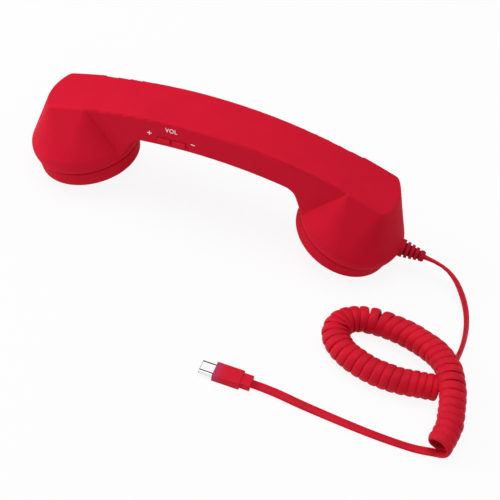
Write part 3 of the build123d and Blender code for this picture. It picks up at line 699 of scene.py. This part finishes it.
def square_to(along: Points) -> tuple[Points, Points]:
    """The most upright direction square to each row, and the one that is square to both."""
    up = unit(np.array(UPRIGHT) - along * along[:, 2:])
    return up, np.cross(along, up)


def added(name: str, data: Any) -> bpy.types.Object:
    """A new object of the scene round a mesh, a curve, a lamp or a camera."""
    made = bpy.data.objects.new(name, data)
    bpy.context.scene.collection.objects.link(made)
    return made


def new_mesh(name: str, vertices: Points, quads: np.ndarray, body: str) -> bpy.types.Object:
    """A smooth mesh piece that rides on a body.

    Args:
        name: the piece's name.
        vertices: one row of x, y, z for each vertex, in metres.
        quads: one row of four vertex numbers for each face.
        body: the body that it moves with.

    Returns:
        The object, at the origin.
    """
    mesh = bpy.data.meshes.new(name)
    mesh.from_pydata(vertices.tolist(), [], quads.tolist())
    mesh.shade_smooth()
    mesh.validate()
    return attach(added(name, mesh), body)


def grid_quads(rows: int, columns: int) -> np.ndarray:
    """Faces between the rows of a grid whose columns close into a ring.

    Args:
        rows: how many rings there are.
        columns: how many points each ring has.

    Returns:
        The faces, each from one ring to the next.
    """
    row, column = np.meshgrid(np.arange(rows - 1), np.arange(columns), indexing="ij")
    here = row * columns + column
    aside = row * columns + (column + 1) % columns
    return np.stack([here, aside, aside + columns, here + columns], -1).reshape(-1, 4)


def smoothed(name: str, points: Points, steps: int) -> Points:
    """The line of a quadratic NURBS spline that starts and ends at its first and last control points.

    Args:
        name: the name of the curve, which is removed again.
        points: its control points, in metres.
        steps: how many steps there are between knots.

    Returns:
        The line's points in order, in metres.
    """
    curve = bpy.data.curves.new(name, "CURVE")
    curve.dimensions = "3D"
    curve.resolution_u = steps
    curve.render_resolution_u = steps
    spline = curve.splines.new("NURBS")
    spline.points.add(len(points) - 1)
    weights = np.ones((len(points), 1))
    spline.points.foreach_set("co", np.hstack([points, weights]).astype(np.float32).ravel())
    spline.order_u = 3
    spline.use_endpoint_u = True
    mesh = as_mesh(name, curve)
    line = np.zeros(len(mesh.vertices) * 3)
    mesh.vertices.foreach_get("co", line)
    bpy.data.meshes.remove(mesh)
    return line.reshape(-1, 3)


def as_mesh(name: str, curve: bpy.types.Curve) -> bpy.types.Mesh:
    """A mesh of a curve or of a text, which is removed.

    Args:
        name: the mesh's name.
        curve: the curve's data.

    Returns:
        The mesh.
    """
    piece = added(name, curve)
    bpy.context.view_layer.update()
    mesh = bpy.data.meshes.new_from_object(piece)
    bpy.data.objects.remove(piece)
    bpy.data.curves.remove(curve)
    mesh.name = name
    return mesh


@dataclass
class Cord:
    """The flat cord: a lead from the handset, the curl, and a lead to the plug.

    The curl starts at the start angle, in degrees from the upright, and has this many turns.
    """

    width: float = 4.9 * MM
    thickness: float = 1.95 * MM
    outer_diameter: float = 14.7 * MM
    turns: float = 41.75
    crowding_bulge: float = 1.1 * MM
    crowding_share: float = 0.5
    start_angle: float = 90.0
    steps_per_turn: int = 16
    steps_per_knot: int = 3
    steps_per_bend: int = 24
    spacing_steps: int = 2001
    section_points: int = 20
    squareness: float = 2.25
    jacket: CordJacket = CordJacket("cord_jacket", linear(212, 18, 44))

    # Control points are in millimetres and twists, from facing upwards, in degrees
    LEAD = [
        (119.24, 0.0, 12.63),
        (128.69, 0.0, 11.64),
        (138.3, -3.6, 8.4),
        (146.2, -12.6, 4.4),
        (150.9, -23.6, 2.8),
        (153.1, -35.8, 2.6),
        (153.4, -48.6, 2.7),
        (151.6, -60.4, 2.4),
        (148.8, -69.4, 1.8),
        (147.6, -73.4, 2.2),
        (146.8, -75.3, 4.7),
    ]
    LEAD_TWIST = (-20, -47, -33, -34, -47, -61, -73, -60, -25, 0, 0)
    CURL = [
        (147.4, -81.2, 7.5),
        (132.6, -84.6, 7.5),
        (118.0, -84.8, 7.5),
        (104.6, -81.6, 7.5),
        (92.8, -74.8, 7.5),
        (87.8, -63.8, 7.5),
        (95.2, -54.0, 7.5),
        (108.4, -50.8, 7.5),
        (122.2, -52.6, 8.2),
        (135.8, -58.2, 10.4),
        (147.8, -68.2, 14.0),
        (154.2, -82.0, 16.4),
        (157.9, -94.8, 13.9),
        (160.0, -106.8, 9.3),
        (157.4, -117.2, 7.5),
    ]
    TAIL = [
        (149.4, -117.6, 1.2),
        (143.2, -118.3, 1.3),
        (126.0, -118.25, 1.3),
        (104.0, -116.55, 1.3),
        (84.0, -114.6, 1.4),
        (70.9, -113.4, 2.5),
        (60.1, -113.3, 2.5),
    ]
    TAIL_TWIST = (0, 5, 3, -2, -7, -9, -4)
    # The share of the curl's route, and the gap between turns there, before all are scaled to the turns
    SPACING = [
        (0.0, 3.7),
        (0.05, 3.8),
        (0.09, 4.4),
        (0.13, 4.65),
        (0.23, 4.65),
        (0.27, 4.4),
        (0.31, 4.0),
        (0.35, 3.9),
        (0.4, 4.0),
        (0.45, 4.9),
        (0.495, 6.6),
        (0.53, 5.4),
        (0.6, 5.3),
        (0.7, 5.2),
        (0.8, 4.9),
        (0.9, 4.2),
        (1.0, 4.3),
    ]
    # A wobble's rate in waves for each turn, and its size in millimetres
    WOBBLE = ((2.3, 0.1), (0.71, 0.14))
    # The share of the curl's route, and the tilt of its turns there in degrees
    TILT = [
        (0.0, 0.0),
        (0.06, 0.0),
        (0.27, 7.0),
        (0.46, 8.0),
        (0.54, -11.0),
        (0.64, -11.0),
        (0.78, 0.0),
        (1.0, 0.0),
    ]

    def build(self) -> None:
        lead, tail = in_metres(self.LEAD), in_metres(self.TAIL)
        curl, outwards = self.helix()
        upwards = self.twisted(lead, self.LEAD_TWIST)
        downwards = -self.twisted(tail, self.TAIL_TWIST)
        line = smoothed("cord_line", np.vstack([lead, curl, tail]), self.steps_per_knot)
        facing = unit(self.spread(np.vstack([upwards, outwards, downwards]), len(line)))
        vertices, quads, uv = self.band(line, facing)
        cord = new_mesh("cord", vertices, quads, "handset")
        layer = cord.data.uv_layers.new(name="cord")
        corners = np.zeros(len(cord.data.loops), int)
        cord.data.loops.foreach_get("vertex_index", corners)
        layer.data.foreach_set("uv", uv[corners].astype(np.float32).ravel())
        cord.data.materials.append(self.jacket.material())
        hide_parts("cord_lead", "cord_curl", "cord_tail")

    def helix(self) -> tuple[Points, Points]:
        """The curl's turns round its own route.

        A turn's centre runs along the smoothed route. Round it the point stands off by the radius,
        turning against the right-hand rule, and its flat side faces outwards, apart from the lean. The
        tilt turns the plane of a turn about the upright, away from square to the route.

        Returns:
            The control points and, for each, the direction that its flat side faces.
        """
        axis = smoothed("curl_axis", in_metres(self.CURL), self.steps_per_bend)
        run = run_along(axis)
        turn, share = self.turning()
        spot = share * run[-1]
        centre = np.stack([np.interp(spot, run, column) for column in axis.T], -1)
        along = unit(np.gradient(centre, spot, axis=0))
        up, aside = square_to(along)
        angle = np.radians(self.start_angle) - 2 * np.pi * turn
        out = np.cos(angle)[:, None] * up + np.sin(angle)[:, None] * aside
        inward = (np.gradient(along, spot, axis=0) * out).sum(-1)
        gap = np.gradient(spot, turn) * (1 - (self.outer_diameter / 2 - self.thickness) * inward)
        lean, radius = self.leaning(gap, turn, out[:, 2])
        tilt = np.radians(np.interp(share, *zip(*self.TILT)))
        shift = radius * np.tan(tilt) * (out * aside).sum(-1)
        facing = np.cos(lean)[:, None] * out + np.sin(lean)[:, None] * along
        return centre + radius[:, None] * out + shift[:, None] * along, facing

    def turning(self) -> tuple[Points, Points]:
        """How the turns are shared out along the route: the closer the spacing, the more there are.

        Returns:
            For each control point of the curl, the turns up to it and its share of the route.
        """
        share = np.linspace(0, 1, self.spacing_steps)
        gaps = np.interp(share, *zip(*self.SPACING))
        turned = np.concatenate([[0.0], np.cumsum((1 / gaps[1:] + 1 / gaps[:-1]) / 2)])
        turned *= self.turns / turned[-1]
        turn = np.linspace(0, self.turns, round(self.turns * self.steps_per_turn) + 1)
        return turn, np.interp(turn, turned, share)

    def leaning(self, gap: Points, turn: Points, rise: Points) -> tuple[Points, Points]:
        """How turns stand where they are close together.

        Where turns are closer than the cord is wide, as inside a bend, each leans on the one before it:
        the sine of its lean is the thickness over the gap. The crowding rises from 0, at a gap of the
        cord's width, to 1, at a gap that is shorter by the crowding share of it, and the lean grows with
        it. A turn's middle moves in so that its outer edge stays on the curl's outer diameter, and a close
        crowd bulges out, but not down into the floor. The radius has a slow wobble too.

        Args:
            gap: the distance to the next turn at each point, in metres.
            turn: the turns up to each point.
            rise: how far upwards the way out of the curl goes at each point, from -1 to 1.

        Returns:
            The lean in radians and the radius in metres at each point.
        """
        crowding = np.clip((self.width - gap) / (self.width * self.crowding_share), 0, 1)
        lean = np.arcsin(self.thickness / np.maximum(gap, self.thickness)) * crowding
        reach = (np.cos(lean) * self.thickness + np.sin(lean) * self.width) / 2
        wobble = sum(size * MM * (1 - np.sin(2 * np.pi * turn * rate)) / 2 for rate, size in self.WOBBLE)
        bulge = self.crowding_bulge * crowding**2 * np.clip(1 + rise, 0, 1)
        return lean, self.outer_diameter / 2 - reach - wobble + bulge

    @staticmethod
    def twisted(points: Points, twist: Sequence[float]) -> Points:
        """The way that a straight stretch's flat side faces at each of its points.

        Args:
            points: the stretch's control points.
            twist: how far it is turned from facing upwards at each, in degrees.

        Returns:
            Directions square to the stretch.
        """
        up, aside = square_to(unit(np.gradient(points, axis=0)))
        turn = np.radians(np.array(twist, float))[:, None]
        return np.cos(turn) * up + np.sin(turn) * aside

    @staticmethod
    def spread(values: Points, samples: int) -> Points:
        """Values at control points carried over to the spline's evenly stepped samples.

        Args:
            values: one row for each control point.
            samples: how many samples the spline has.

        Returns:
            One row for each sample, read at the control points' own places on the spline, which are
            half way between its knots.
        """
        spans = len(values) - 2
        places = np.concatenate([[0.0], np.arange(spans) + 0.5, [spans]])
        steps = np.linspace(0, spans, samples)
        return np.stack([np.interp(steps, places, column) for column in values.T], -1)

    def band(self, line: Points, facing: Points) -> tuple[Points, np.ndarray, Points]:
        """The cord's skin: a rounded flat section carried along the line.

        The section is a superellipse, |x/a|^n + |y/b|^n = 1, with a half the width, b half the thickness
        and n the squareness, and its short axis follows the facing. The place round the cord runs there
        and back, so that the pattern has no seam.

        Args:
            line: the centreline.
            facing: the short axis at each of its points.

        Returns:
            The vertices, the faces, and for each vertex its place along and round the cord.
        """
        along = unit(np.gradient(line, axis=0))
        short = unit(facing - along * (facing * along).sum(-1, keepdims=True))
        long = np.cross(along, short)
        angle = np.linspace(0, 2 * np.pi, self.section_points, endpoint=False)
        power = 2 / self.squareness
        x, y = (np.sign(wave) * np.abs(wave) ** power / 2 for wave in (np.cos(angle), np.sin(angle)))
        across = long[:, None] * x[:, None] * self.width
        rings = line[:, None] + across + short[:, None] * y[:, None] * self.thickness
        around = np.abs(angle / np.pi - 1) * (self.width + self.thickness)
        uv = np.stack(np.broadcast_arrays(run_along(line)[:, None], around[None]), -1).reshape(-1, 2)
        quads = grid_quads(len(line), self.section_points)
        return rings.reshape(-1, 3), np.vstack([quads, *self.ends(len(line))]), uv

    def ends(self, rings: int) -> tuple[np.ndarray, np.ndarray]:
        """Faces that close the band's two ends, each a ladder of quads across its ring.

        Args:
            rings: how many rings the band has.

        Returns:
            The first end's faces and the last end's.
        """
        count = self.section_points
        half = np.arange(count // 2 - 1)
        start = np.stack([half, (-half - 1) % count, (-half - 2) % count, half + 1], -1)[:, ::-1]
        return start, start[:, ::-1] + (rings - 1) * count


@dataclass
class Handset:
    """The finishes of the handset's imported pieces."""

    shell_red: Triple = linear(214, 23, 49)
    cap_red: Triple = linear(210, 22, 47)
    key_red: Triple = linear(224, 24, 50)
    relief_red: Triple = linear(188, 20, 44)
    # the painted shade colour down in the relief's grooves
    groove_shade_red: Triple = linear(138, 8, 24)
    black: Triple = (0.02, 0.02, 0.021)
    dark_felt: Triple = (0.012, 0.012, 0.013)
    light_felt: Triple = (0.0364, 0.0364, 0.0386)
    film: Triple = linear(150, 120, 70)
    steel: Triple = (0.56, 0.56, 0.58)
    screw: Triple = (0.5, 0.5, 0.52)
    aluminium: Triple = (0.8, 0.8, 0.82)
    lacquer: Triple = (0.008, 0.11, 0.03)
    track: Triple = (0.05, 0.26, 0.09)
    black_mottle: float = 0.2
    matt: float = 0.72

    def build(self) -> None:
        """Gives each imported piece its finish."""
        smooth = {"grain": Grain.SMOOTH}
        black = {"colour": self.black, "mottle": self.black_mottle}
        tip = tuple(in_metres(Cord.LEAD[0]))
        finishes = {
            MouldedPlastic("shell_plastic", self.shell_red, self.matt): ("handset_shell", "inner_cover"),
            MouldedPlastic("cap_plastic", self.cap_red, self.matt): ("ear_cap", "mouth_cap"),
            MouldedPlastic("key_plastic", self.key_red, **smooth): (
                "volume_up_key",
                "volume_down_key",
                "answer_key",
            ),
            # the relief rubber has painted shade in its grooves
            RibbedRubber("relief_rubber", self.relief_red, self.groove_shade_red, tip): ("strain_relief",),
            MouldedPlastic("black_plastic", roughness=0.45, **smooth, **black): (
                "speaker_frame",
                "volume_up_switch",
                "volume_down_switch",
                "answer_switch",
            ),
            MouldedPlastic("boot_rubber", roughness=0.75, grain=Grain.COARSE, **black): ("microphone_boot",),
            MouldedPlastic("wire_insulation", **smooth, **black): (
                "speaker_wires",
                "microphone_wires",
                "cord_wires",
            ),
            MouldedPlastic("diaphragm_film", self.film, 0.25, coat=0.5, **smooth): ("speaker_cone",),
            Metal("plated_steel", self.steel, roughness=0.34): ("speaker_magnet", "mouth_weight"),
            Metal("screw_steel", self.screw, roughness=0.26): ("board_screws", "cover_screws"),
            Metal("capsule_aluminium", self.aluminium, roughness=0.24): ("microphone_capsule",),
            Felt("felt", self.dark_felt, self.light_felt): ("ear_felt", "mouth_felt"),
            BoardLaminate("board_laminate", self.lacquer, self.track): ("circuit_board",),
        }
        for finish, names in finishes.items():
            paint(finish.material(), *names)


@dataclass
class Plug:
    """The finishes of the plug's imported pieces."""

    grip_red: Triple = linear(216, 24, 48)
    # the colour of the grip's painted reflection of the metal
    grip_painted_reflection: Triple = linear(186, 62, 108)
    metal: Triple = (0.93, 0.93, 0.94)
    # the dark colour of the shell's painted reflections, also used across its rim
    edge: Triple = (0.04, 0.04, 0.045)
    insert: Triple = (0.03, 0.03, 0.032)
    gilding: Triple = (0.9, 0.66, 0.3)

    def build(self) -> None:
        """Gives each piece of the plug its finish."""
        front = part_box("plug_overmould")[0].x
        low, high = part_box("plug_shell")
        finishes = {
            # the grip has a painted pale reflection at its front end
            "plug_overmould": GripPlastic("plug_grip", self.grip_red, self.grip_painted_reflection, front),
            # the shell's metal has painted dark reflections along its edges and low on its sides
            "plug_shell": DrawnShell("plug_metal", self.metal, self.edge, low.x, (low.y + high.y) / 2),
            "plug_insert": MouldedPlastic("plug_insert", self.insert, roughness=0.4, grain=Grain.SMOOTH),
            "plug_contacts": Metal("contact_metal", self.gilding, roughness=0.2),
        }
        for name, finish in finishes.items():
            paint(finish.material(), name)


@dataclass(frozen=True)
class Mark:
    """A printed mark, in millimetres.

    The x is its middle's place along the handle, and the depth how far that is below the handle's back.
    The size is a letter's, or the length of a sign's bar, and the stroke is the bar's width.
    """

    x: float
    depth: float
    size: float
    stroke: float = 0.0


@dataclass
class Print:
    """The marks beside the volume keys, printed on the side of the handle."""

    height: float = 0.05 * MM
    arch_radius: float = 286.0 * MM
    side: float = -15.6 * MM
    letter_width: float = 0.84
    letter_gap: float = 1.1
    letter_steps: int = 6
    boldness: float = 0.028 * MM
    ink: MouldedPlastic = MouldedPlastic(
        "print_ink", linear(252, 246, 246), roughness=0.6, grain=Grain.SMOOTH, mottle=0.01
    )

    WORD = Mark(-25.0, 4.4, 3.9)
    PLUS = Mark(-37.5, 8.7, 2.55, 0.47)
    MINUS = Mark(-12.5, 9.8, 2.3, 0.48)

    # A box that stands on the origin, as the outline of its floor, its heights and its faces
    OUTLINE = ((-0.5, -0.5), (0.5, -0.5), (0.5, 0.5), (-0.5, 0.5))
    HEIGHTS = (0.0, 1.0)
    FACES = [(0, 3, 2, 1), (4, 5, 6, 7), (0, 1, 5, 4), (1, 2, 6, 5), (2, 3, 7, 6), (3, 0, 4, 7)]

    def build(self) -> None:
        """Makes the word and the two signs and dresses them."""
        pieces = [
            self.word("volume_word", "VOL", self.WORD),
            self.sign("volume_plus", self.PLUS, crossed=True),
            self.sign("volume_minus", self.MINUS, crossed=False),
        ]
        material = self.ink.material()
        for piece in pieces:
            piece.data.materials.append(material)
            log.info("%s is printed", piece.name)

    def spot(self, mark: Mark) -> Matrix:
        """A frame on the handle's side, with x along the handle and y away from the middle of its arch.

        The handle's back is an arc of the arch's radius, whose middle is straight below its highest point.

        Args:
            mark: the mark that goes there.

        Returns:
            The matrix that places a flat drawing there.
        """
        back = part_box("handset_shell")[1].z
        angle = np.arcsin(mark.x * MM / self.arch_radius)
        out = Vector((np.sin(angle), 0.0, np.cos(angle)))
        along = Vector((out.z, 0.0, -out.x))
        place = Matrix((along, out, along.cross(out))).transposed().to_4x4()
        place.translation = Vector((0.0, self.side, back - self.arch_radius))
        place.translation += out * (self.arch_radius - mark.depth * MM)
        return place

    def word(self, name: str, text: str, mark: Mark) -> bpy.types.Object:
        """A printed word.

        Args:
            name: the piece's name.
            text: the word.
            mark: its place and the size of its letters.

        Returns:
            The word as a mesh.
        """
        curve = bpy.data.curves.new(name, "FONT")
        curve.body = text
        curve.align_x = "CENTER"
        curve.align_y = "CENTER"
        curve.size = mark.size * MM
        curve.space_character = self.letter_gap
        curve.offset = self.boldness
        curve.extrude = self.height / 2
        curve.resolution_u = self.letter_steps
        mesh = as_mesh(name, curve)
        mesh.transform(self.spot(mark) @ Matrix.Diagonal((self.letter_width, 1.0, 1.0, 1.0)))
        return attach(added(name, mesh), "handset")

    def sign(self, name: str, mark: Mark, crossed: bool) -> bpy.types.Object:
        """A plus or a minus sign.

        Args:
            name: the piece's name.
            mark: its place and size.
            crossed: true for a plus, whose upright is two short bars above and below the level one.

        Returns:
            The sign as a mesh of flat boxes.
        """
        corners = np.array([(x, y, z) for z in self.HEIGHTS for x, y in self.OUTLINE])
        arm, stroke, thick = mark.size * MM, mark.stroke * MM, self.height / 2
        boxes = [corners * (arm, stroke, thick)]
        if crossed:
            reach = (arm - stroke) / 2
            bar = corners * (stroke, reach, thick)
            boxes += [bar + (0.0, side * (stroke + reach) / 2, 0.0) for side in (-1, 1)]
        quads = np.vstack([np.array(self.FACES) + len(corners) * i for i in range(len(boxes))])
        piece = new_mesh(name, np.vstack(boxes), quads, "handset")
        piece.data.shade_flat()
        piece.data.transform(self.spot(mark))
        return piece


@dataclass(frozen=True)
class Lamp:
    """A square area lamp that points at the handset, with its size in metres and its power in watts."""

    name: str
    place: Triple
    size: float
    power: float
    target: Triple = (0.02, -0.02, 0.03)

    def build(self) -> None:
        """Makes the lamp."""
        light = bpy.data.lights.new(self.name, "AREA")
        light.shape = "SQUARE"
        light.size = self.size
        light.energy = self.power
        lamp = added(self.name, light)
        lamp.location = self.place
        lamp.rotation_euler = (Vector(self.target) - Vector(self.place)).to_track_quat("-Z", "Y").to_euler()


@dataclass
class Studio:
    """A pale floor, soft light from above and from the left, and the photograph's camera."""

    camera_place: Triple = (0.153163, -0.639080, 0.643356)
    camera_right: Triple = (0.9406, 0.3167, 0.1220)
    camera_up: Triple = (-0.3102, 0.6564, 0.6877)
    lens: float = 119.93
    nearest: float = 0.01
    floor_size: float = 6.0
    floor_colour: Triple = (0.95, 0.95, 0.95)
    floor_roughness: float = 0.9
    shadow_share: float = 0.1
    soft_colour: Triple = (0.97, 0.98, 1.0)
    soft_light: float = 0.38
    wall_glow: float = 0.25
    wall_rise: Span = (0.1, 0.4)
    lamps: tuple[Lamp, ...] = (
        Lamp("left", (-1.1, -0.2, 0.45), 0.9, 6.8),
        Lamp("top", (0.0, 0.0, 1.2), 0.9, 6.6),
    )

    def build(self) -> None:
        """Makes the floor, the world, the lamps and the camera."""
        self.floor()
        self.world()
        for lamp in self.lamps:
            lamp.build()
        self.camera()

    def floor(self) -> None:
        """A flat floor that stays nearly white to the camera and keeps the shadow."""
        half = self.floor_size / 2
        corners = [(x * half, y * half, 0.0) for x, y in ((-1, -1), (1, -1), (1, 1), (-1, 1))]
        mesh = bpy.data.meshes.new("floor")
        mesh.from_pydata(corners, [], [(0, 1, 2, 3)])
        floor = added("floor", mesh)
        graph = Graph("floor")
        graph.surface(Base_Color=self.floor_colour, Roughness=self.floor_roughness, Specular_IOR_Level=0.0)
        glow = graph.node("ShaderNodeEmission", None, {"Color": WHITE, "Strength": 1.0})
        camera, glossy = self.rays(graph, "Camera", "Glossy")
        share = camera.most(glossy) * (1 - self.shadow_share)
        mixed = graph.node("ShaderNodeMixShader", None, {0: share, 1: graph.skin(), 2: glow})
        graph.output("ShaderNodeOutputMaterial", mixed)
        mesh.materials.append(graph.material)

    def world(self) -> None:
        """A pale surround: white to the camera, softer as light, and darker low down in reflections."""
        world = bpy.data.worlds.new("studio")
        bpy.context.scene.world = world
        world.use_nodes = True
        graph = Graph.of(world.node_tree)
        camera, glossy, clear = self.rays(graph, "Camera", "Glossy", "Transmission")
        height = graph.axis("Z", "Generated").between(*self.wall_rise)
        wall = self.wall_glow + (1 - self.wall_glow) * height
        plain = camera.most(clear)
        soft = {"Color": self.soft_colour, "Strength": self.soft_light}
        seen = {"Color": WHITE, "Strength": plain.most(glossy * wall)}
        sides = {
            0: plain.most(glossy),
            1: graph.node("ShaderNodeBackground", None, soft),
            2: graph.node("ShaderNodeBackground", None, seen),
        }
        graph.output("ShaderNodeOutputWorld", graph.node("ShaderNodeMixShader", None, sides))

    @staticmethod
    def rays(graph: Graph, *kinds: str) -> list[Signal]:
        """For each kind of ray, 1 where the ray is of that kind."""
        return [graph.node("ShaderNodeLightPath", outlet=f"Is {kind} Ray") for kind in kinds]

    def camera(self) -> None:
        """The photograph's camera, placed by its own axes."""
        right, up = Vector(self.camera_right).normalized(), Vector(self.camera_up).normalized()
        back = right.cross(up).normalized()
        place = Matrix((right, back.cross(right), back)).transposed().to_4x4()
        place.translation = Vector(self.camera_place)
        data = bpy.data.cameras.new("camera")
        data.lens = self.lens
        data.clip_start = self.nearest
        camera = added("camera", data)
        camera.matrix_world = place
        bpy.context.scene.camera = camera


def main() -> None:
    """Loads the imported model, adds the studio, the cord and the print, and dresses every piece."""
    logging.basicConfig(level=logging.INFO, format="%(message)s")
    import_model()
    bpy.context.scene.view_settings.view_transform = "Standard"
    for part in (Studio(), Cord(), Handset(), Plug(), Print()):
        part.build()
        log.info("%s is done", type(part).__name__)


if __name__ == "__main__":
    main()
